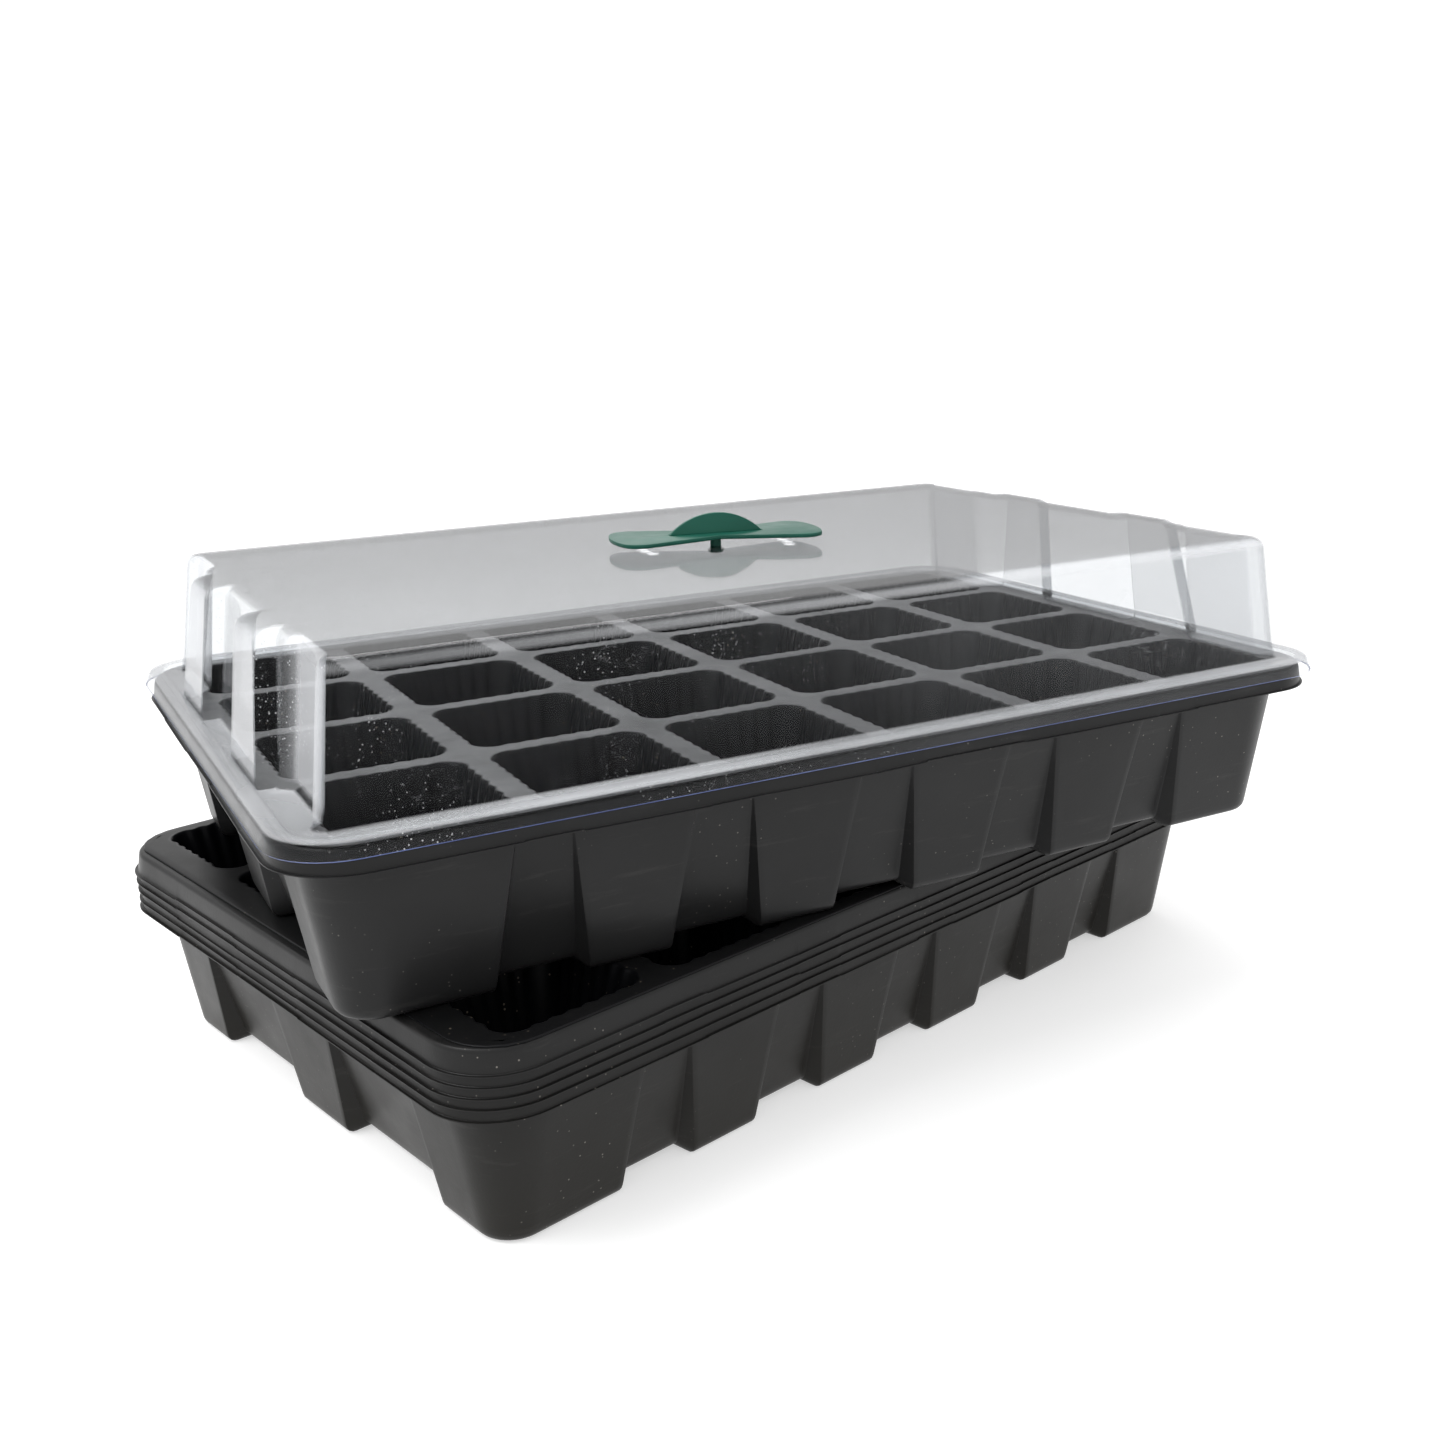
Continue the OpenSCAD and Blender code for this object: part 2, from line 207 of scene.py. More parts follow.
def tub_ring(z, inset=0.0, dims=None, height=None):
    """One ring around the tub. dims overrides the size with [half x, half y, radius]."""
    lean_x = (RIM_X - FLOOR_X) / (RIM_Z - FLOOR_Z)
    lean_y = (RIM_Y - FLOOR_Y) / (RIM_Z - FLOOR_Z)
    wall = np.array([FLOOR_X + lean_x * (z - FLOOR_Z), FLOOR_Y + lean_y * (z - FLOOR_Z)])
    top = np.array([FLOOR_X + lean_x * (FOOT_TOP - FLOOR_Z), FLOOR_Y + lean_y * (FOOT_TOP - FLOOR_Z)])
    foot = mix(np.array([FOOT_X, FOOT_Y]), top, z / FOOT_TOP) if z < FOOT_TOP else wall
    radius = mix(FOOT_R, WALL_R, min(max(z, 0), FOOT_TOP) / FOOT_TOP)
    if dims is not None:
        wall = foot = np.array(dims[:2])
        radius = dims[2]
    r = max(radius - inset, 2.0)
    cx, cy = foot - inset - r
    long_x, long_m = stations(z, cx, [k * FOOT_PITCH_X for k in (-1.5, -0.5, 0.5, 1.5)], FOOT_HALF_X,
                              CORNER_IN_X)
    short_y, short_m = stations(z, cy, [0], FOOT_HALF_Y, CORNER_IN_Y)
    out_y = wall[1] + long_m * (foot[1] - wall[1]) - inset
    out_x = wall[0] + short_m * (foot[0] - wall[0]) - inset
    turn = np.radians(np.linspace(0, 90, ARC + 2)[1:-1])
    xs, ys, ms = [], [], []

    def add(x, y, m):
        xs.append(x)
        ys.append(y)
        ms.append(m)

    ones = np.ones(ARC)
    add(long_x, -out_y, long_m)
    add(cx + r * np.sin(turn), -cy - r * np.cos(turn), ones)
    add(out_x, short_y, short_m)
    add(cx + r * np.cos(turn), cy + r * np.sin(turn), ones)
    add(-long_x, out_y, long_m)
    add(-cx - r * np.sin(turn), cy + r * np.cos(turn), ones)
    add(-out_x, -short_y, short_m)
    add(-cx - r * np.cos(turn), -cy - r * np.sin(turn), ones)
    x, y, m = (np.concatenate(part) for part in (xs, ys, ms))
    zs = np.full_like(x, z) if height is None else height(m)
    return np.stack([x, y, zs], 1)


def sole(m):
    """Height of the tub's underside: the floor where m is 0, a foot's sole on the ground where it is 1."""
    return FLOOR_Z * (1 - m)


def floor_rings():
    """The floor from its middle out, down into the feet, along their soles and around their lower edges."""
    flat = tub_ring(0, 15, height=lambda m: FLOOR_Z + 0 * m)
    rings = [flat * (share, share, 1) for share in (0.05, 0.35, 0.7, 1)]
    rings.append(tub_ring(0, 13.6, height=lambda m: FLOOR_Z - 0.15 * m))
    rings.append(tub_ring(0, 11, height=lambda m: sole(m) + 0.15 * m))
    rings.append(tub_ring(0, 9.5, height=sole))
    rings.append(tub_ring(0, FOOT_FILLET + 0.6, height=sole))
    for turn in (0, 22, 45, 68):
        a = math.radians(turn)
        lift = FOOT_FILLET * (1 - math.cos(a))
        rings.append(tub_ring(lift, FOOT_FILLET * (1 - math.sin(a)), height=lambda m: sole(m) + lift))
    return rings


def wall_rings():
    """The walls, from the feet's rounded lower edges up to the rim."""
    rings = []
    for z in (3.2, 5, 9, 14, 20, 26, 32, 38, 43, 47, 50, 52, 54.5, 56.2):
        share = (z - FOOT_FILLET) / (FOOT_TOP - FOOT_FILLET)
        rings.append(tub_ring(z, height=lambda m: z + sole(m) * max(1 - share, 0)))
    return rings


def lip_rings():
    """The rim's flat top, the band that hangs from it, and the lip that stands out below."""
    under = RIM_Z - WALL
    rings = [tub_ring(under - 0.22, dims=(RIM_X + 0.1, RIM_Y + 0.1, WALL_R))]
    rings.append(tub_ring(under, dims=(RIM_X + 0.7, RIM_Y + 0.7, WALL_R)))
    for back, z in (
        (3.6, under),
        (3.05, under - 0.12),
        (2.7, under - 0.45),
        (2.5, under - 1.2),
        (2.0, LIP_Z + 3),
        (1.6, LIP_Z + 0.8),
        (1.4, LIP_Z + 0.25),
        (1.0, LIP_Z),
        (0.5, LIP_Z),
        (0, LIP_Z),
    ):
        rings.append(tub_ring(z, dims=[size - WALL - back for size in (LIP_X, LIP_Y, LIP_R)]))
    return rings


def tub_rings(seed):
    """The tub's underside, from the floor out over the rim to the lip's edge, which waves a little."""
    rings = np.array(floor_rings() + wall_rings() + lip_rings())
    count = rings.shape[1]
    slack = np.zeros(len(rings))
    slack[-6:] = [0.05, 0.25, 0.55, 0.8, 1.0, 1.0]
    rings[:, :, 2] += 0.4 * slack[:, None] * ripple(count, seed)[None, :]
    pull = 0.35 * slack[:, None, None] * (ripple(count, seed + 50)[None, :, None] - 1)
    side = rings.copy()
    side[:, :, 2] = 0
    side /= np.linalg.norm(side, axis=2, keepdims=True)
    return rings + pull * side


def shell(rings, thickness):
    """A closed shell of the given thickness on the upper side of a grid of rings, its middle filled."""
    count_rings, count = rings.shape[:2]
    other = rings - grid_normals(rings) * thickness
    verts = np.concatenate([rings.reshape(-1, 3), other.reshape(-1, 3)])
    size = count_rings * count
    faces = ring_faces(count_rings, count, 0)
    faces += ring_faces(count_rings, count, size, flip=True)
    last = (count_rings - 1) * count
    for j in range(count):
        k = (j + 1) % count
        faces.append((last + j, last + k, size + last + k, size + last + j))
    faces.append(tuple(range(count))[::-1])
    faces.append(tuple(range(size, size + count)))
    return verts, faces


# ---------------------------------------------------------------- the insert
# Points along one flute, and around half a cell's corner.
STEPS = 6
BEND = 3
# Corner radius of a cell at the sheet, and how far an outer cell's tile reaches beyond its middle.
CELL_R = 7.5
EDGE_REACH = 27.0


def flat_points():
    """Where a tile's points lie along the straight part of a cell's side."""
    flat = CELL_TOP - CELL_R
    return np.linspace(-flat, flat, FLUTES * STEPS + 1)


def cell_ring(half, r, flute, z):
    """A square ring with round corners and fluted sides."""
    flat = half - r
    along = np.linspace(-flat, flat, FLUTES * STEPS + 1)
    wave = flute * (0.5 - 0.5 * np.cos(2 * math.pi * FLUTES * (along + flat) / (2 * flat)))
    turn = np.radians(np.linspace(0, 90, 2 * BEND + 1)[1:-1])
    out = half - wave
    bend, fall = flat + r * np.sin(turn), flat + r * np.cos(turn)
    x = np.concatenate([along, bend, out, fall, -along, -bend, -out, -fall])
    y = np.concatenate([-out, -fall, along, bend, out, fall, -along, -bend])
    return np.stack([x, y, np.full_like(x, z)], 1)


def tile_ring(west, east, south, north):
    """The edge of a cell's tile, point for point with the cell's ring. The sizes are its reach each way."""
    flat = CELL_TOP - CELL_R
    along = flat_points()
    part = np.arange(1, BEND + 1) / BEND

    def corner(first, second, at):
        """Points from one side's end, through the tile's corner, to the next side's start."""
        first, second, at = np.array(first), np.array(second), np.array(at)
        going = [mix(first, at, t) for t in part[:-1]] + [at]
        coming = [mix(at, second, t) for t in part[:-1]]
        return going + coming

    rows = [(x, -south) for x in along]
    rows += corner((flat, -south), (east, -flat), (east, -south))
    rows += [(east, y) for y in along]
    rows += corner((east, flat), (flat, north), (east, north))
    rows += [(-x, north) for x in along]
    rows += corner((-flat, north), (-west, flat), (-west, north))
    rows += [(-west, -y) for y in along]
    rows += corner((-west, -flat), (-flat, -south), (-west, -south))
    points = np.array([(p[0], p[1]) for p in rows], float)
    return np.concatenate([points, np.full((len(points), 1), SHEET_T)], 1)


def cell_rings(west, east, south, north):
    """One cell and its tile, from the tile's edge down the fluted sides and in to the drain hole."""
    rings = [tile_ring(west, east, south, north)]
    rings.append(cell_ring(CELL_TOP + 1.1, CELL_R + 0.6, FLUTE_DEEP, SHEET_T))
    rings.append(cell_ring(CELL_TOP + 0.45, CELL_R + 0.2, FLUTE_DEEP, SHEET_T - 0.06))
    rings.append(cell_ring(CELL_TOP + 0.1, CELL_R, FLUTE_DEEP, SHEET_T - 0.35))
    for depth in (1.2, 5, 12, 20, 28, 36, 42):
        share = depth / CELL_DEPTH
        half, r = mix(CELL_TOP, CELL_BOTTOM, share), mix(CELL_R, 4, share)
        rings.append(cell_ring(half, r, FLUTE_DEEP * (1 - 0.75 * share), SHEET_T - depth))
    rings.append(cell_ring(CELL_BOTTOM + 0.3, 4, 0.1, SHEET_T - CELL_DEPTH + 1.2))
    rings.append(cell_ring(CELL_BOTTOM - 0.6, 3.6, 0, SHEET_T - CELL_DEPTH + 0.2))
    rings.append(cell_ring(CELL_BOTTOM - 1.8, 3.2, 0, SHEET_T - CELL_DEPTH))
    angles = np.arctan2(rings[-1][:, 1], rings[-1][:, 0])
    rings.append(np.stack([DRAIN_R * np.cos(angles), DRAIN_R * np.sin(angles), rings[-1][:, 2]], 1))
    return rings


def reach(i, cells, pitch):
    """How far the tile of cell i reaches to either side of its middle."""
    before = EDGE_REACH if i == 0 else pitch / 2
    after = EDGE_REACH if i == cells - 1 else pitch / 2
    return before, after


def insert_mesh():
    """Top surface of the insert: tiles with their cells, then the border out to the sheet's edge."""
    verts, faces = [], []
    for i in range(COLUMNS):
        for j in range(ROWS):
            cx = (i - (COLUMNS - 1) / 2) * PITCH_X
            cy = (j - (ROWS - 1) / 2) * PITCH_Y
            rings = cell_rings(*reach(i, COLUMNS, PITCH_X), *reach(j, ROWS, PITCH_Y))
            faces += ring_faces(len(rings), len(rings[0]), len(verts))
            block = np.concatenate(rings) + np.array([cx, cy, 0])
            verts.extend(block.tolist())
    edge = border_rings()
    faces += ring_faces(len(edge), len(edge[0]), len(verts), flip=True)
    verts.extend(np.concatenate(edge).tolist())
    return verts, faces


def side_points(cells, pitch):
    """Where the outer tiles' points lie along one side of the sheet."""
    flat = CELL_TOP - CELL_R
    part = np.arange(1, BEND) / BEND
    places = []
    for i in range(cells):
        c = (i - (cells - 1) / 2) * pitch
        west, east = reach(i, cells, pitch)
        places += [c - west] + [c + mix(-west, -flat, t) for t in part] + [c + v for v in flat_points()]
        places += [c + mix(flat, east, t) for t in part]
    places.append((cells - 1) / 2 * pitch + EDGE_REACH)
    return np.array(places)


def round_out(x, y, ex, ey, inset):
    """Moves a point of the tiles' outer edge, (ex, ey) from the middle, out to the sheet's round edge."""
    hx, hy, r = SHEET_X - inset, SHEET_Y - inset, SHEET_R - inset
    cx, cy = SHEET_X - SHEET_R, SHEET_Y - SHEET_R
    sx, sy = (1 if x > 0 else -1), (1 if y > 0 else -1)
    on_long = abs(abs(y) - ey) < 1e-6
    if on_long and abs(x) <= cx:
        return x, sy * hy
    if not on_long and abs(y) <= cy:
        return sx * hx, y
    if on_long:
        a = math.radians(90 - 45 * (abs(x) - cx) / (ex - cx))
    else:
        a = math.radians(45 * (abs(y) - cy) / (ey - cy))
    return sx * (cx + r * math.cos(a)), sy * (cy + r * math.sin(a))


def border_rings():
    """The insert's border: the tiles' outer edge, and three rings at the edge of the sheet."""
    long_x, short_y = side_points(COLUMNS, PITCH_X), side_points(ROWS, PITCH_Y)
    ex, ey = long_x[-1], short_y[-1]
    inner = np.concatenate([
        np.stack([long_x, np.full_like(long_x, -ey)], 1),
        np.stack([np.full_like(short_y, ex), short_y], 1)[1:],
        np.stack([-long_x, np.full_like(long_x, ey)], 1)[1:],
        np.stack([np.full_like(short_y, -ex), -short_y], 1)[1:-1],
    ])
    rings = [inner]
    rings += [np.array([round_out(x, y, ex, ey, inset) for x, y in inner]) for inset in (3.0, 0.6, 0.0)]
    heights = (SHEET_T, SHEET_T, SHEET_T - 0.02, SHEET_T - 0.2)
    return [np.concatenate([ring, np.full((len(ring), 1), z)], 1) for ring, z in zip(rings, heights)]


def insert_piece(name, place, material):
    """An insert, welded from its tiles and border, with its faces up and its sheet's thickness below them."""
    verts, faces = insert_mesh()
    piece = make_object(name, verts, faces, place, [material])
    mesh = piece.data
    bm = bmesh.new()
    bm.from_mesh(mesh)
    bmesh.ops.remove_doubles(bm, verts=bm.verts, dist=2e-6)
    bmesh.ops.recalc_face_normals(bm, faces=bm.faces)
    tops = [f for f in bm.faces if abs(f.normal.z) > 0.99]
    up = sum(f.normal.z * f.calc_area() for f in tops)
    if up < 0:
        bmesh.ops.reverse_faces(bm, faces=bm.faces)
    bm.to_mesh(mesh)
    bm.free()
    solid = piece.modifiers.new("thickness", "SOLIDIFY")
    solid.thickness = 0.4 * MM
    solid.offset = -1
    return piece


# ---------------------------------------------------------------- the dome
# Radius of the plain disc around the vent's holes, and how far the ribs stand out at their foot.
DISC_R = 32.0
RIB_FOOT = 6.4
# The end wall is pressed in by DENT between a rib and the corner.
DENT = 4.0
DENT_START = 62.5
# The ribs' near and far edges from the middle, at the shelf and under the top.
RIB_LOW = (26.0, 60.0)
RIB_HIGH = (24.4, 51.4)


def dome_ring(hx, hy, r, z, rib=0.0, inner=RIB_LOW, soft=1.4, dent=0.0):
    """One ring around the dome. rib is how far each end's two upright ribs stand out, inner their edges."""
    cx, cy = hx - r, hy - r
    long_x = np.linspace(-cx, cx, 61)
    a, b = inner
    half = [(a - soft, 0), (a, 1), (b, 1), (b + soft, 0)]
    half += [(DENT_START, 0), (DENT_START + 5, -1), (cy - 5, -1), (cy, 0)]
    knots = [(-y, m) for y, m in half[::-1]] + half
    ys, masks = [], []
    for (p, mp), (q, mq) in zip(knots, knots[1:]):
        for t, share in zip(*((PANEL, PANEL) if mp == mq else (SIDE, SIDE_MASK))):
            if t < 1:
                ys.append(mix(p, q, t))
                masks.append(mix(mp, mq, share))
    ys, masks = np.array(ys + [cy]), np.array(masks + [0.0])
    out = hx + rib * np.maximum(masks, 0) + dent * np.minimum(masks, 0)
    turn = np.radians(np.linspace(0, 90, 10)[1:-1])
    bend, fall = r * np.sin(turn), r * np.cos(turn)
    flat_y = np.full_like(long_x, hy)
    x = np.concatenate([long_x, cx + bend, out, cx + fall, -long_x, -cx - bend, -out, -cx - fall])
    y = np.concatenate([-flat_y, -cy - fall, ys, cy + bend, flat_y, cy + fall, -ys, -cy - bend])
    return np.stack([x, y, np.full_like(x, z)], 1)


def dome_rings():
    """The dome's outer surface, from a circle around the vent out over the flat top and down to the skirt."""
    flat = dome_ring(TOP_X - 14, TOP_Y - 14, DOME_R, TOP_Z, inner=(28, 48), dent=0.0)
    angle = np.arctan2(flat[:, 1], flat[:, 0])
    disc = np.stack([DISC_R * np.cos(angle), DISC_R * np.sin(angle), flat[:, 2]], 1)
    rings = [mix(disc, flat, share) for share in (0, 0.1, 0.3, 0.6, 1)]
    for back, fall, rib, inner, soft, dent in (
        (4.2, 0.0, 0.3, (25, 50), 1.4, 0.5),
        (2.4, 0.04, 3.4, (26, 48), 2.2, 1.5),
        (1.2, 0.3, 4.8, (25.6, 49), 2.2, 2.4),
        (0.2, 0.9, 5.4, (25.2, 49.8), 2.0, 2.9),
        (-0.6, 1.9, 5.9, (24.8, 50.6), 1.8, 3.2),
        (-1.2, 3.4, 6.4, RIB_HIGH, 1.6, 3.4),
    ):
        hx, hy = TOP_X - back, TOP_Y - back - 0.8
        rings.append(dome_ring(hx, hy, DOME_R, TOP_Z - fall, rib, inner, soft, dent))
    bottom = SHELF_Z + CLEAR
    for share in (0.1, 0.22, 0.36, 0.5, 0.64, 0.78, 0.9):
        hx, hy = mix(TOP_X + 1.2, BASE_X - 0.4, share), mix(TOP_Y + 0.4, BASE_Y - 0.2, share)
        z = mix(TOP_Z - 3.4, bottom + 2, share)
        edges = [mix(high, low, share) for high, low in zip(RIB_HIGH, RIB_LOW)]
        rib, dent = mix(6.4, RIB_FOOT, share), mix(3.4, DENT, share)
        rings.append(dome_ring(hx, hy, DOME_R, z, rib, edges, dent=dent))
    for out, lift in ((0.0, 2.2), (0.25, 1.1), (0.7, 0.45), (1.3, 0.12), (2.1, 0.0)):
        rib = mix(RIB_FOOT, 3.6, out / 2.1)
        hx, hy = BASE_X - 0.3 + out, BASE_Y - 0.1 + out
        rings.append(dome_ring(hx, hy, DOME_R + out, bottom + lift, rib, dent=DENT))
    shelf_x, shelf_y = SKIRT_X - 1.4 - BORDER_W, SKIRT_Y - 1.4 - BORDER_W
    for out, lift in ((-0.9, 0.0), (-0.2, 0.15), (0.15, 0.75), (0.5, BORDER_H - 0.15), (1.2, BORDER_H)):
        rings.append(dome_ring(shelf_x + out, shelf_y + out, 11 + out, bottom + lift))
    skirt = ((2.9, 0.0), (2.0, 0.2), (1.4, 0.9), (0.7, 3.2), (0.1, SKIRT_H + 0.4), (0, SKIRT_H + CLEAR))
    for back, fall in skirt:
        rings.append(dome_ring(SKIRT_X - back, SKIRT_Y - back, SKIRT_R - back, bottom + BORDER_H - fall))
    return np.array(rings)


def round_loop(x, y, r, n):
    """n points of a circle of radius r about (x, y)."""
    turns = (2 * math.pi * k / n for k in range(n))
    return [(x + r * math.cos(a), y + r * math.sin(a)) for a in turns]


def vent_holes():
    """The holes in the dome's top: one for the stem, and a fan of four under each lobe of the vent."""
    holes = [round_loop(0, 0, STEM_R + 0.1, 24)]
    for side in (0, math.pi):
        for step in (-18, -6, 6, 18):
            a = VENT_TURN + side + math.radians(step)
            holes.append(round_loop(HOLE_OUT * math.cos(a), HOLE_OUT * math.sin(a), HOLE_R, 20))
    return holes


def pierced_disc(verts, count, size):
    """Fills the first of the dome's rings, above and below, and leaves its round holes open."""
    loops, extra = [], []
    for hole in vent_holes():
        first = len(verts) + len(extra)
        loops.append(list(range(first, first + len(hole))))
        extra += [(x, y, TOP_Z) for x, y in hole]
    lower = len(extra)
    extra += [(x, y, TOP_Z - CLEAR) for x, y, z in extra]
    verts = np.concatenate([verts, np.array(extra)])
    rims = [list(range(count))] + loops
    flat = [[Vector((verts[i][0], verts[i][1], 0)) for i in rim] for rim in rims]
    index = [i for rim in rims for i in rim]
    faces = []
    for tri in geometry.tessellate_polygon(flat):
        a, b, c = (index[i] for i in tri)
        ab, ac = verts[b] - verts[a], verts[c] - verts[a]
        if ab[0] * ac[1] - ab[1] * ac[0] < 0:
            b, c = c, b
        faces.append((a, b, c))
        faces.append(tuple(i + size if i < count else i + lower for i in (a, c, b)))
    for loop in loops:
        for i, j in zip(loop, loop[1:] + loop[:1]):
            faces.append((i, j, j + lower, i + lower))
    return verts, faces


def dome_mesh():
    """The dome as one closed clear shell. The last material marks its cut edge."""
    rings = dome_rings()
    count_rings, count = rings.shape[:2]
    inner = rings + grid_normals(rings) * CLEAR
    size = count_rings * count
    faces = ring_faces(count_rings, count, 0, flip=True)
    faces += ring_faces(count_rings, count, size)
    marks = [0] * len(faces) + [1] * count
    last = (count_rings - 1) * count
    for j in range(count):
        k = (j + 1) % count
        faces.append((last + k, last + j, size + last + j, size + last + k))
    both = np.concatenate([rings.reshape(-1, 3), inner.reshape(-1, 3)])
    verts, disc = pierced_disc(both, count, size)
    return verts, faces + disc, marks + [0] * len(disc)


# ---------------------------------------------------------------- the vent
def arc(x, y, r, start, end, n):
    """Points of a circle about (x, y) from one angle to another."""
    return [(x + r * math.cos(t), y + r * math.sin(t)) for t in np.linspace(start, end, n)]


def vent_outline():
    """The plate's outline: two fans with round corners that meet in a narrow waist."""
    corner = VENT_R - LOBE_R
    turn = LOBE_ANGLE + math.asin((WAIST * math.cos(LOBE_ANGLE) - LOBE_R) / corner)
    x, y = corner * math.cos(turn), corner * math.sin(turn)
    beside = LOBE_ANGLE + math.pi / 2
    lobe = [(0.0, -WAIST)]
    lobe += arc(x, -y, LOBE_R, -beside, -turn, 9)
    lobe += arc(0, 0, VENT_R, -turn, turn, 15)[1:-1]
    lobe += arc(x, y, LOBE_R, turn, beside, 9)
    lobe += [(0.0, WAIST)]
    return lobe + [(-px, -py) for px, py in lobe[1:-1]]


def slab_mesh(outline, z0, z1, bevel=0.35):
    """A flat plate with softened edges from an outline."""
    base = np.array(outline, float)
    along = np.roll(base, -1, 0) - np.roll(base, 1, 0)
    normal = np.stack([along[:, 1], -along[:, 0]], 1)
    normal /= np.maximum(np.linalg.norm(normal, axis=1, keepdims=True), 1e-9)
    rings = []
    low = ((bevel, z0), (0.3 * bevel, z0 + 0.3 * bevel), (0, z0 + bevel))
    high = ((0, z1 - bevel), (0.3 * bevel, z1 - 0.3 * bevel), (bevel, z1))
    for inset, z in low + high:
        ring = base - normal * inset
        rings.append(np.concatenate([ring, np.full((len(ring), 1), z)], 1))
    rings = np.array(rings)
    count = len(base)
    faces = ring_faces(len(rings), count, 0)
    faces.append(tuple(range(count))[::-1])
    faces.append(tuple(range((len(rings) - 1) * count, len(rings) * count)))
    return rings.reshape(-1, 3), faces


def turned(profile, n=32):
    """A turned solid about Z from (radius, height) pairs, with flat ends."""
    rings = np.array([[(x, y, z) for x, y in round_loop(0, 0, r, n)] for r, z in profile])
    faces = ring_faces(len(rings), n, 0)
    faces.append(tuple(range(n))[::-1])
    faces.append(tuple(range((len(rings) - 1) * n, len(rings) * n)))
    return rings.reshape(-1, 3), faces


def grip_mesh(base):
    """The thumb grip: an upright segment of a disc, whose foot is sunk a little into the plate at base."""
    spread = math.acos((GRIP_R - GRIP_H) / GRIP_R)
    turns = np.linspace(spread, -spread, 41)
    outline = [(GRIP_R * math.sin(a), max(GRIP_R * math.cos(a) - GRIP_R + GRIP_H, 0) - 0.2) for a in turns]
    verts, faces = slab_mesh(outline, -GRIP_T / 2, GRIP_T / 2, 0.35)
    upright = np.stack([verts[:, 0], verts[:, 2], verts[:, 1] + base], 1)
    return upright, [face[::-1] for face in faces]


def stem_mesh(top):
    """The vent's stem, from the plate down through the dome to the collar that holds it."""
    return turned([
        (STEM_R + 0.7, TOP_Z - 2.4),
        (STEM_R + 0.9, TOP_Z - 2.0),
        (STEM_R + 0.9, TOP_Z - 1.2),
        (STEM_R + 0.5, TOP_Z - 0.9),
        (STEM_R, TOP_Z - 0.9),
        (STEM_R, top),
    ])


def vent_mesh():
    """The vent: its plate, grip and stem, turned to where the lobes lie."""
    plate_z = TOP_Z + VENT_GAP
    plate = slab_mesh(vent_outline(), plate_z, plate_z + VENT_T, 0.3)
    all_verts, all_faces = [], []
    for verts, faces in (plate, grip_mesh(plate_z + VENT_T), stem_mesh(plate_z + 0.4)):
        start = len(all_verts)
        all_verts += verts.tolist()
        all_faces += [tuple(i + start for i in face) for face in faces]
    c, s = math.cos(VENT_TURN), math.sin(VENT_TURN)
    return [(c * x - s * y, s * x + c * y, z) for x, y, z in all_verts], all_faces


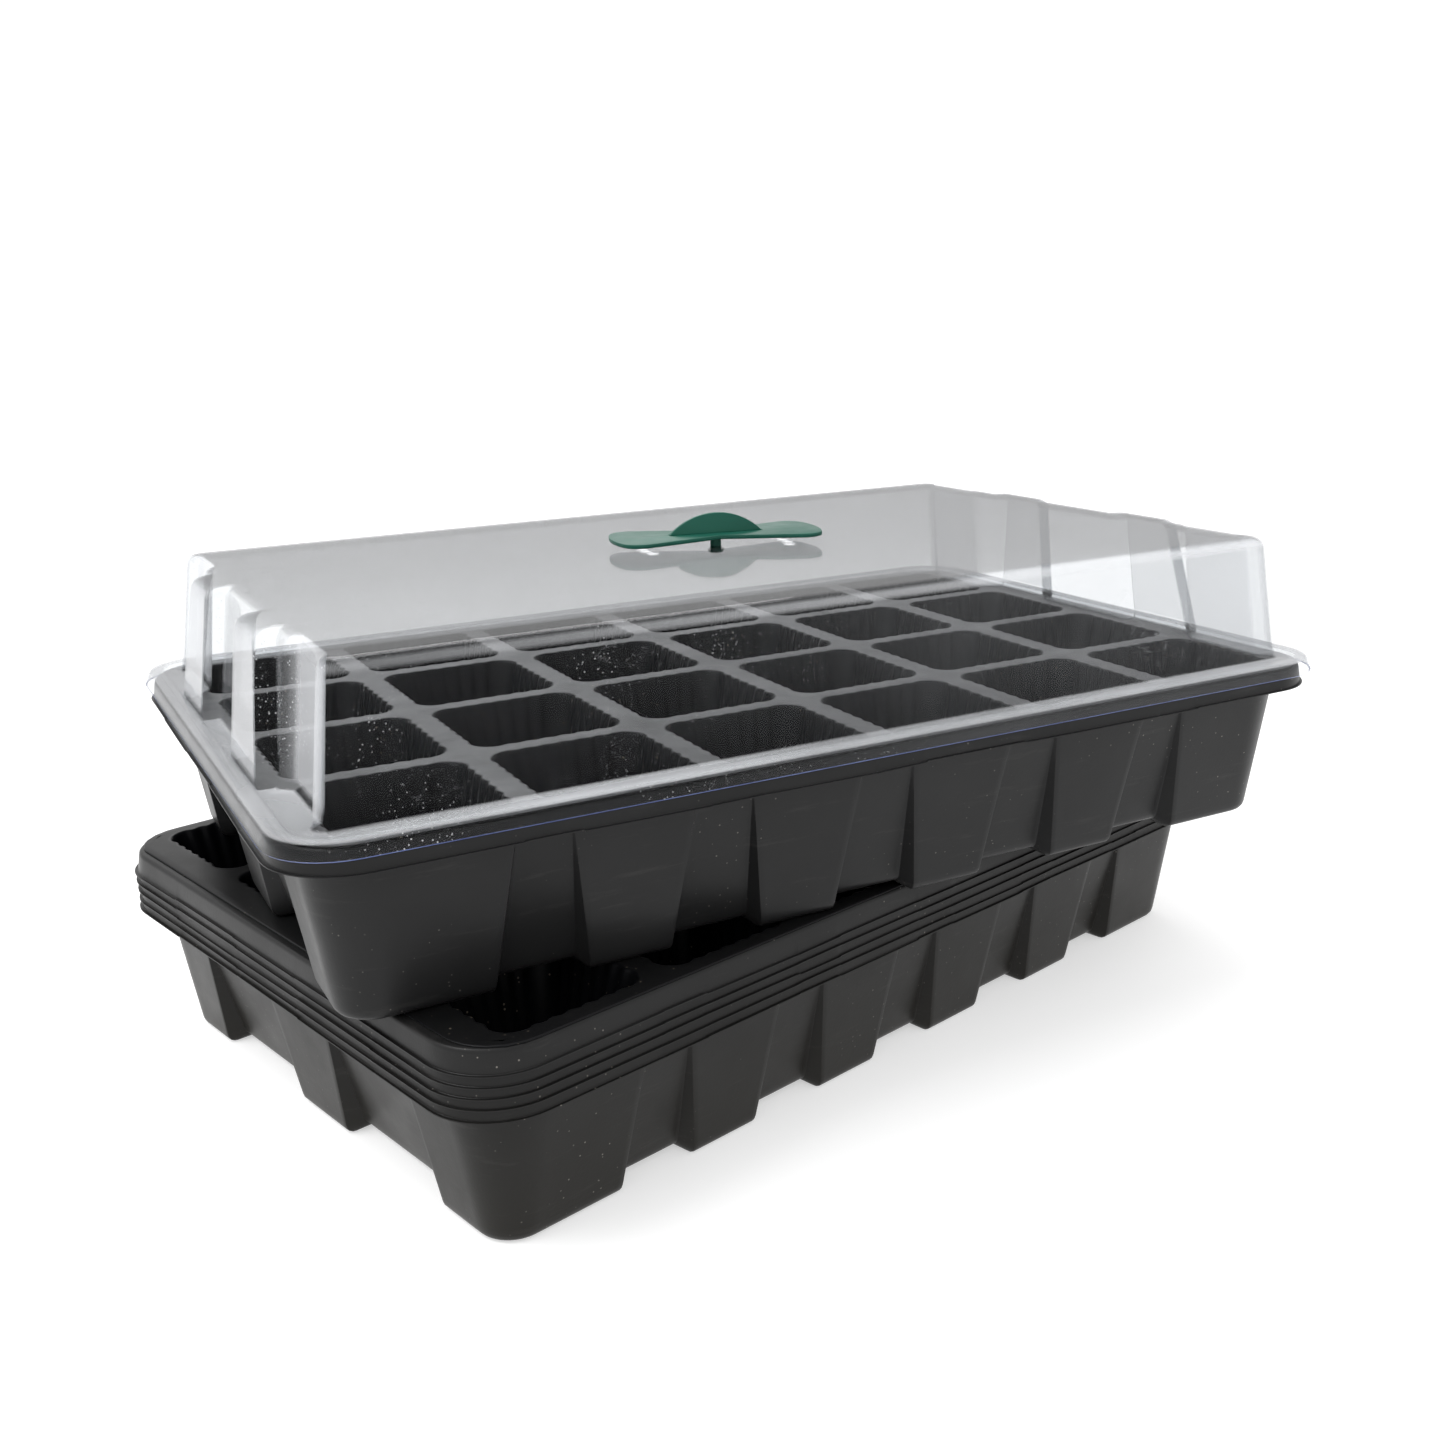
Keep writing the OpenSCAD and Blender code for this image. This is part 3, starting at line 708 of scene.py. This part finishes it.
# ---------------------------------------------------------------- materials
class Nodes:
    """A short way to write a material's nodes."""

    def __init__(self, name):
        self.material = bpy.data.materials.new(name)
        self.material.use_nodes = True
        self.tree = self.material.node_tree
        self.tree.nodes.clear()
        self.place = self.add("TexCoord").outputs["Object"]

    def add(self, kind, **settings):
        node = self.tree.nodes.new("ShaderNode" + kind)
        for key, value in settings.items():
            setattr(node, key, value)
        return node

    def link(self, a, b):
        self.tree.links.new(a, b)

    def noise(self, scale, detail=4.0, rough=0.55, stretch=None):
        """Cloudy noise from 0 to 1, finer along an axis whose stretch is larger."""
        node = self.add("TexNoise")
        node.inputs["Scale"].default_value = scale
        node.inputs["Detail"].default_value = detail
        node.inputs["Roughness"].default_value = rough
        source = self.place
        if stretch:
            mapping = self.add("Mapping")
            mapping.inputs["Scale"].default_value = stretch
            self.link(self.place, mapping.inputs["Vector"])
            source = mapping.outputs["Vector"]
        self.link(source, node.inputs["Vector"])
        return node.outputs["Fac"]

    def specks(self, scale, size):
        """White where a small speck of dust lies."""
        node = self.add("TexVoronoi")
        node.inputs["Scale"].default_value = scale
        self.link(self.place, node.inputs["Vector"])
        return self.ramp(node.outputs["Distance"], ((0.0, 1.0), (size, 0.9), (size * 1.4, 0.0)))

    def ramp(self, source, stops):
        """A grey ramp, or a colour ramp where the stops hold colours."""
        node = self.add("ValToRGB")
        elements = node.color_ramp.elements
        while len(elements) < len(stops):
            elements.new(0.5)
        for element, (at, value) in zip(elements, stops):
            element.position = at
            element.color = (value, value, value, 1) if isinstance(value, float) else (*value, 1)
        self.link(source, node.inputs["Fac"])
        return node.outputs["Color"]

    def maths(self, how, a, b):
        """A sum, product or the like of two numbers or sockets."""
        node = self.add("Math", operation=how)
        for socket, value in zip(node.inputs, (a, b)):
            if isinstance(value, (int, float)):
                socket.default_value = value
            else:
                self.link(value, socket)
        return node.outputs[0]

    def blend(self, share, a, b):
        """A colour between a and b."""
        node = self.add("Mix", data_type="RGBA")
        for socket, value in ((node.inputs[0], share), (node.inputs[6], a), (node.inputs[7], b)):
            if isinstance(value, (int, float)):
                socket.default_value = value
            elif isinstance(value, tuple):
                socket.default_value = (*value, 1)
            else:
                self.link(value, socket)
        return node.outputs[2]

    def bump(self, height, strength, distance, under=None):
        node = self.add("Bump")
        node.inputs["Strength"].default_value = strength
        node.inputs["Distance"].default_value = distance
        self.link(height, node.inputs["Height"])
        if under is not None:
            self.link(under, node.inputs["Normal"])
        return node.outputs["Normal"]

    def plastic(self, colour, rough, normal, specular=0.5):
        """A Principled shader. A colour or a number goes on its own socket, and a socket is linked to it."""
        node = self.add("BsdfPrincipled")
        node.inputs["Specular IOR Level"].default_value = specular
        for key, value in (("Base Color", colour), ("Roughness", rough), ("Normal", normal)):
            if value is None:
                continue
            if isinstance(value, (int, float)):
                node.inputs[key].default_value = value
            elif isinstance(value, tuple):
                node.inputs[key].default_value = (*value, 1)
            else:
                self.link(value, node.inputs[key])
        return node

    def rise(self, value, start, end, high=1.0, low=0.0):
        """A straight step from low to high as the value goes from start to end."""
        node = self.add("MapRange")
        self.link(value, node.inputs["Value"])
        for key, number in (("From Min", start), ("From Max", end), ("To Min", low), ("To Max", high)):
            node.inputs[key].default_value = number
        return node.outputs["Result"]

    def split(self, vector, axis):
        node = self.add("SeparateXYZ")
        self.link(vector, node.inputs[0])
        return node.outputs[axis]

    def shaders(self, share, first, second):
        """A mix of two shader nodes."""
        node = self.add("MixShader")
        self.link(share, node.inputs[0])
        self.link(first.outputs[0], node.inputs[1])
        self.link(second.outputs[0], node.inputs[2])
        return node

    def output(self, shader):
        node = self.add("OutputMaterial")
        self.link(shader, node.inputs["Surface"])
        return self.material


def black_plastic(name, base, dust, rough):
    """Thermoformed black sheet: satin, faintly mottled, with dust and thin scuffs, and a painted warm
    reflection that grows towards the ground.
    """
    n = Nodes(name)
    cloud = n.noise(14, 5)
    fine = n.noise(900, 3)
    scuff = n.ramp(n.noise(26, 6, 0.7, (1, 1, 9)), ((0.0, 0.0), (0.58, 0.0), (0.72, 1.0)))
    spots = n.specks(330, 0.075)
    where = n.ramp(n.noise(21, 3), ((0.0, 0.0), (0.46, 0.0), (0.66, 1.0)))
    dusty = n.maths("MULTIPLY", spots, where)
    lighter = tuple(c * 1.4 + 0.002 for c in base)
    colour = n.blend(n.ramp(cloud, ((0.3, 0.0), (0.7, 1.0))), base, lighter)
    # Painted reflection: below about 75 mm the black warms to a brown that is strongest at the ground. It
    # stands in for a warm reflection on the lower walls.
    low = n.ramp(n.maths("MULTIPLY", n.split(n.place, "Z"), 10.0), ((0.0, 0.7), (0.75, 0.0)))
    colour = n.blend(low, colour, (0.011, 0.0095, 0.0065))
    colour = n.blend(n.maths("MULTIPLY", scuff, 0.05), colour, (0.2, 0.19, 0.18))
    colour = n.blend(n.maths("MULTIPLY", dusty, dust), colour, (0.3, 0.28, 0.25))
    shine = n.ramp(n.noise(40, 5), ((0.3, rough - 0.05), (0.7, rough + 0.07)))
    normal = n.bump(fine, 0.12, 0.0002, n.bump(cloud, 0.12, 0.002))
    return n.output(n.plastic(colour, shine, normal, 0.19).outputs[0])


def black_dust_and_painted_light(name, dust):
    """An insert's black sheet: its flat webs take the colour given, grey dust with painted light in one copy
    and painted shade in the other, and its cells stay black.
    """
    n = Nodes(name)
    normal = n.add("NewGeometry").outputs["Normal"]
    flat = n.ramp(n.split(normal, "Z"), ((0.0, 0.0), (0.8, 0.0), (0.97, 1.0)))
    high = n.ramp(n.noise(70, 6, 0.7), ((0.25, 0.35), (0.75, 1.0)))
    # Painted light and shade: the up-facing webs take the given colour. In the upper insert this is dust
    # brightened by painted haze light; in the stack's insert it is kept near black as painted shade.
    colour = n.blend(n.maths("MULTIPLY", flat, high), (0.003, 0.0032, 0.004), dust)
    where = n.ramp(n.noise(24, 3), ((0.0, 0.0), (0.5, 0.0), (0.7, 1.0)))
    colour = n.blend(n.maths("MULTIPLY", n.specks(300, 0.09), where), colour, (0.22, 0.19, 0.15))
    shine = n.ramp(n.noise(40, 5), ((0.3, 0.3), (0.7, 0.42)))
    bumps = n.bump(n.noise(600, 2), 0.06, 0.0001)
    return n.output(n.plastic(colour, shine, bumps, 0.14).outputs[0])


def clear_sheet():
    """Clear thermoformed sheet. It mirrors and greys more aslant, and where it was drawn thin it is milky.
    The same milky white also paints highlights on its flange and top edge, and a painted reflection that
    grows to the right.
    """
    n = Nodes("clear_sheet")
    normal = n.bump(n.noise(9, 3), 0.05, 0.01)
    facing = n.add("LayerWeight")
    facing.inputs["Blend"].default_value = 0.5
    n.link(normal, facing.inputs["Normal"])
    aslant = n.maths("POWER", facing.outputs["Facing"], 5.0)
    true_normal = n.add("NewGeometry").outputs["Normal"]
    side, up = (n.maths("ABSOLUTE", n.split(true_normal, axis), 0.0) for axis in "XZ")
    level = n.rise(up, 0.6, 0.9)
    through = n.add("BsdfTransparent")
    tint = n.blend(n.maths("MULTIPLY", aslant, level), (0.905, 0.91, 0.915), (0.24, 0.242, 0.245))
    n.link(tint, through.inputs["Color"])
    mirror = n.add("BsdfGlossy")
    mirror.inputs["Color"].default_value = (0.74, 0.74, 0.745, 1)
    mirror.inputs["Roughness"].default_value = 0.05
    n.link(normal, mirror.inputs["Normal"])
    glass = n.shaders(n.maths("ADD", n.maths("MULTIPLY", aslant, 0.6), 0.005), through, mirror)
    # This milky white is real milk at the ends, and painted highlight and painted reflection on the flange,
    # the top edge and the right side.
    milk_and_highlight_white = n.plastic((0.8, 0.81, 0.83), 0.5, normal)
    return n.output(n.shaders(milk_and_painted_light(n, side, level), glass, milk_and_highlight_white).outputs[0])


def end_film(n, x, y, height, side):
    """Milk at the dome's ends, where the sheet was drawn thin: on the ribs' faces and beside the corners."""
    away = n.maths("ABSOLUTE", x, 0.0)
    beyond = n.maths("ADD", away, n.maths("MULTIPLY", height, 0.155))
    ribs = n.rise(beyond, (BASE_X + 3.0) * MM, (BASE_X + 5.0) * MM, 0.19)
    past = n.rise(n.maths("ABSOLUTE", y, 0.0), DENT_START * MM, (DENT_START + 4) * MM, 0.26)
    corners = n.maths("MULTIPLY", past, n.rise(away, 0.16, 0.164))
    ends = n.maths("MULTIPLY", n.maths("MAXIMUM", ribs, corners), n.rise(side, 0.5, 0.9))
    return n.maths("MULTIPLY", ends, n.rise(height, 0.002, 0.004))


def wear(n, x):
    """Layers of use and light: a haze that grows to the right, made of smears with a painted reflection, thin
    scratches, and dust that is thickest at the left.
    """
    cloudy = n.ramp(n.noise(22, 5), ((0.3, 0.4), (0.75, 1.0)))
    # Painted reflection: the haze's rise towards the right stands in for reflected light on that side; its
    # clouds are smears.
    rightward_haze = n.maths("MULTIPLY", n.rise(x, -0.08, 0.06, 0.03, 0.002), cloudy)
    lines = n.ramp(n.noise(75, 2, 0.5, (1, 1.4, 3)), ((0.492, 0.0), (0.5, 0.3), (0.508, 0.0)))
    rubbed = n.ramp(n.noise(14, 2), ((0.0, 0.0), (0.62, 0.0), (0.7, 0.6)))
    where = n.ramp(n.noise(30, 3), ((0.0, 0.0), (0.45, 0.0), (0.65, 0.5)))
    left = n.rise(x, 0.02, -0.12, 1.0, 0.25)
    dots = n.maths("MULTIPLY", n.specks(600, 0.12), n.maths("MULTIPLY", where, left))
    return [rightward_haze, n.maths("MULTIPLY", lines, rubbed), dots]


def milk_and_painted_light(n, side, level):
    """How much milky white the clear sheet takes: most on its ribs and end corners as milk, and on its flange
    and top edge as painted highlights; least on its front.
    """
    x = n.maths("SUBTRACT", n.split(n.place, "X"), float(UPPER[0] * MM))
    y = n.maths("SUBTRACT", n.split(n.place, "Y"), float(UPPER[1] * MM))
    height = n.maths("SUBTRACT", n.split(n.place, "Z"), (SHELF_Z + CLEAR) * MM)
    streaks = n.ramp(n.noise(20, 4, 0.6, (0.35, 0.35, 3)), ((0.3, 0.3), (0.7, 1.0)))
    # Painted highlight: milky streaks on the flat flange at the foot stand in for light streaking along it.
    flange_highlight = n.maths("MULTIPLY", n.maths("MULTIPLY", level, streaks), n.rise(height, 0.006, 0.003, 0.34))
    # Painted highlight: a milky band round the top edge, stronger to the right, stands in for light on its
    # fillet.
    lip = n.maths("MULTIPLY", n.rise(height, 0.0405, 0.042), n.rise(height, 0.0442, 0.043))
    brow_highlight = n.maths("MULTIPLY", lip, n.rise(x, -0.17, 0.17, 0.3, 0.08))
    total = end_film(n, x, y, height, side)
    for layer in [flange_highlight, brow_highlight] + wear(n, x):
        total = n.maths("MAXIMUM", total, layer)
    return total


def cut_edge():
    """The sheet's trimmed edge, where light from inside gathers blue."""
    n = Nodes("cut_edge")
    colour = n.ramp(n.noise(60, 2), ((0.3, (0.05, 0.08, 0.26)), (0.7, (0.12, 0.17, 0.4))))
    return n.output(n.plastic(colour, 0.3, n.bump(n.noise(300, 2), 0.1, 0.0005)).outputs[0])


def green_plastic():
    """Green moulded plastic that lets some light through."""
    n = Nodes("green_plastic")
    colour = n.ramp(n.noise(30, 4), ((0.3, (0.008, 0.085, 0.058)), (0.7, (0.014, 0.115, 0.08))))
    shine = n.ramp(n.noise(120, 4), ((0.3, 0.36), (0.7, 0.46)))
    body = n.plastic(colour, shine, n.bump(n.noise(500, 3), 0.08, 0.0003))
    body.inputs["Transmission Weight"].default_value = 0.25
    body.inputs["Specular IOR Level"].default_value = 0.1
    return n.output(body.outputs[0])


# ---------------------------------------------------------------- the pieces
def build():
    """Makes every piece and hands it to its body."""
    tub_black = black_plastic("tub_black", (0.008, 0.008, 0.0082), 0.5, 0.36)
    # Two copies of one insert sheet: the stack's is near black as painted shade under the upper unit, and the
    # upper one's is pale with dust and painted light from the dome's haze.
    inserts = {"insert_stack": black_dust_and_painted_light("insert_black_painted_shade", (0.008, 0.008, 0.008)),
               "insert_upper": black_dust_and_painted_light("insert_black_dust_and_painted_light", (0.12, 0.12, 0.122))}
    clear, edge, green = clear_sheet(), cut_edge(), green_plastic()
    for k in range(5):
        verts, faces = shell(tub_rings(seed=10 + k), WALL)
        piece = make_object(f"tub_{k + 1}_skin", verts, faces, in_stack(k * NEST_PITCH), [tub_black])
        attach(piece, f"tub_{k + 1}")
        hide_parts(f"tub_{k + 1}")
    verts, faces = shell(tub_rings(seed=31), WALL)
    piece = make_object("tub_upper_skin", verts, faces, in_upper(UPPER_Z), [tub_black])
    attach(piece, "tub_upper")
    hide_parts("tub_upper")
    for name, place in (
        ("insert_stack", in_stack(4 * NEST_PITCH + SHEET_Z)),
        ("insert_upper", in_upper(UPPER_Z + SHEET_Z)),
    ):
        piece = insert_piece(name + "_skin", place, inserts[name])
        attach(piece, name)
        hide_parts(name)
    verts, faces, marks = dome_mesh()
    piece = make_object("dome_skin", verts, faces, in_upper(0), [clear, edge], marks)
    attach(piece, "dome")
    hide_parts("dome")
    verts, faces = vent_mesh()
    piece = make_object("vent_skin", verts, faces, in_upper(0), [green])
    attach(piece, "vent")
    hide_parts("vent")


# ---------------------------------------------------------------- floor, light and camera
def stage():
    """A white floor that runs out of sight."""
    floor = bpy.data.meshes.new("floor")
    reach_out = 12.0
    corners = [(-reach_out, -reach_out, 0), (reach_out, -reach_out, 0)]
    corners += [(reach_out, reach_out, 0), (-reach_out, reach_out, 0)]
    floor.from_pydata(corners, [], [(0, 1, 2, 3)])
    n = Nodes("floor_white")
    white = n.plastic((0.6, 0.6, 0.6), 0.9, None, 0.1)
    white.inputs["Emission Color"].default_value = (1, 1, 1, 1)
    white.inputs["Emission Strength"].default_value = 0.5
    floor.materials.append(n.output(white.outputs[0]))
    piece = bpy.data.objects.new("floor", floor)
    bpy.context.scene.collection.objects.link(piece)


def lights():
    """A white room, a broad soft light from overhead, and two soft lamps, at the left and behind."""
    world = bpy.data.worlds.new("studio")
    world.use_nodes = True
    world.node_tree.nodes["Background"].inputs["Color"].default_value = (1, 1, 1, 1)
    world.node_tree.nodes["Background"].inputs["Strength"].default_value = 1.02
    bpy.context.scene.world = world
    overhead = bpy.data.lights.new("overhead", "SUN")
    overhead.energy = 0.6
    overhead.angle = math.radians(90)
    lamp = bpy.data.objects.new("overhead", overhead)
    lamp.rotation_euler = (math.radians(12), math.radians(-18), 0)
    bpy.context.scene.collection.objects.link(lamp)
    for name, place, size, power in (
        ("left", (-1.0, 0.0, 1.4), 0.8, 14),
        ("back", (0.5, 1.5, 1.3), 1.0, 8),
    ):
        light = bpy.data.lights.new(name, "AREA")
        light.size = size
        light.energy = power
        lamp = bpy.data.objects.new(name, light)
        lamp.location = place
        aim = Vector((0, 0, 0.12)) - Vector(place)
        lamp.rotation_euler = aim.to_track_quat("-Z", "Y").to_euler()
        bpy.context.scene.collection.objects.link(lamp)


def camera():
    """The camera stands to the left of the front, a little above the dome, and looks down by 16 degrees."""
    yaw, pitch, roll = 0.4878, 0.2809, -0.0241
    place = Vector((-0.2530 + UPPER[0] * MM, -0.4788 + UPPER[1] * MM, 0.2636))
    ahead = Vector((math.sin(yaw) * math.cos(pitch), math.cos(yaw) * math.cos(pitch), -math.sin(pitch)))
    right = Vector((math.cos(yaw), -math.sin(yaw), 0))
    up = right.cross(ahead)
    turned_right = right * math.cos(roll) + up * math.sin(roll)
    turned_up = -right * math.sin(roll) + up * math.cos(roll)
    data = bpy.data.cameras.new("camera")
    data.sensor_width = 36
    data.lens = 36 * 1.4852 / 1.445
    data.clip_start = 0.01
    lens = bpy.data.objects.new("camera", data)
    axes = Matrix((turned_right, turned_up, -ahead)).transposed()
    lens.matrix_world = Matrix.Translation(place) @ axes.to_4x4()
    bpy.context.scene.collection.objects.link(lens)
    bpy.context.scene.camera = lens


build()
stage()
lights()
camera()
bpy.context.scene.view_settings.view_transform = "Standard"
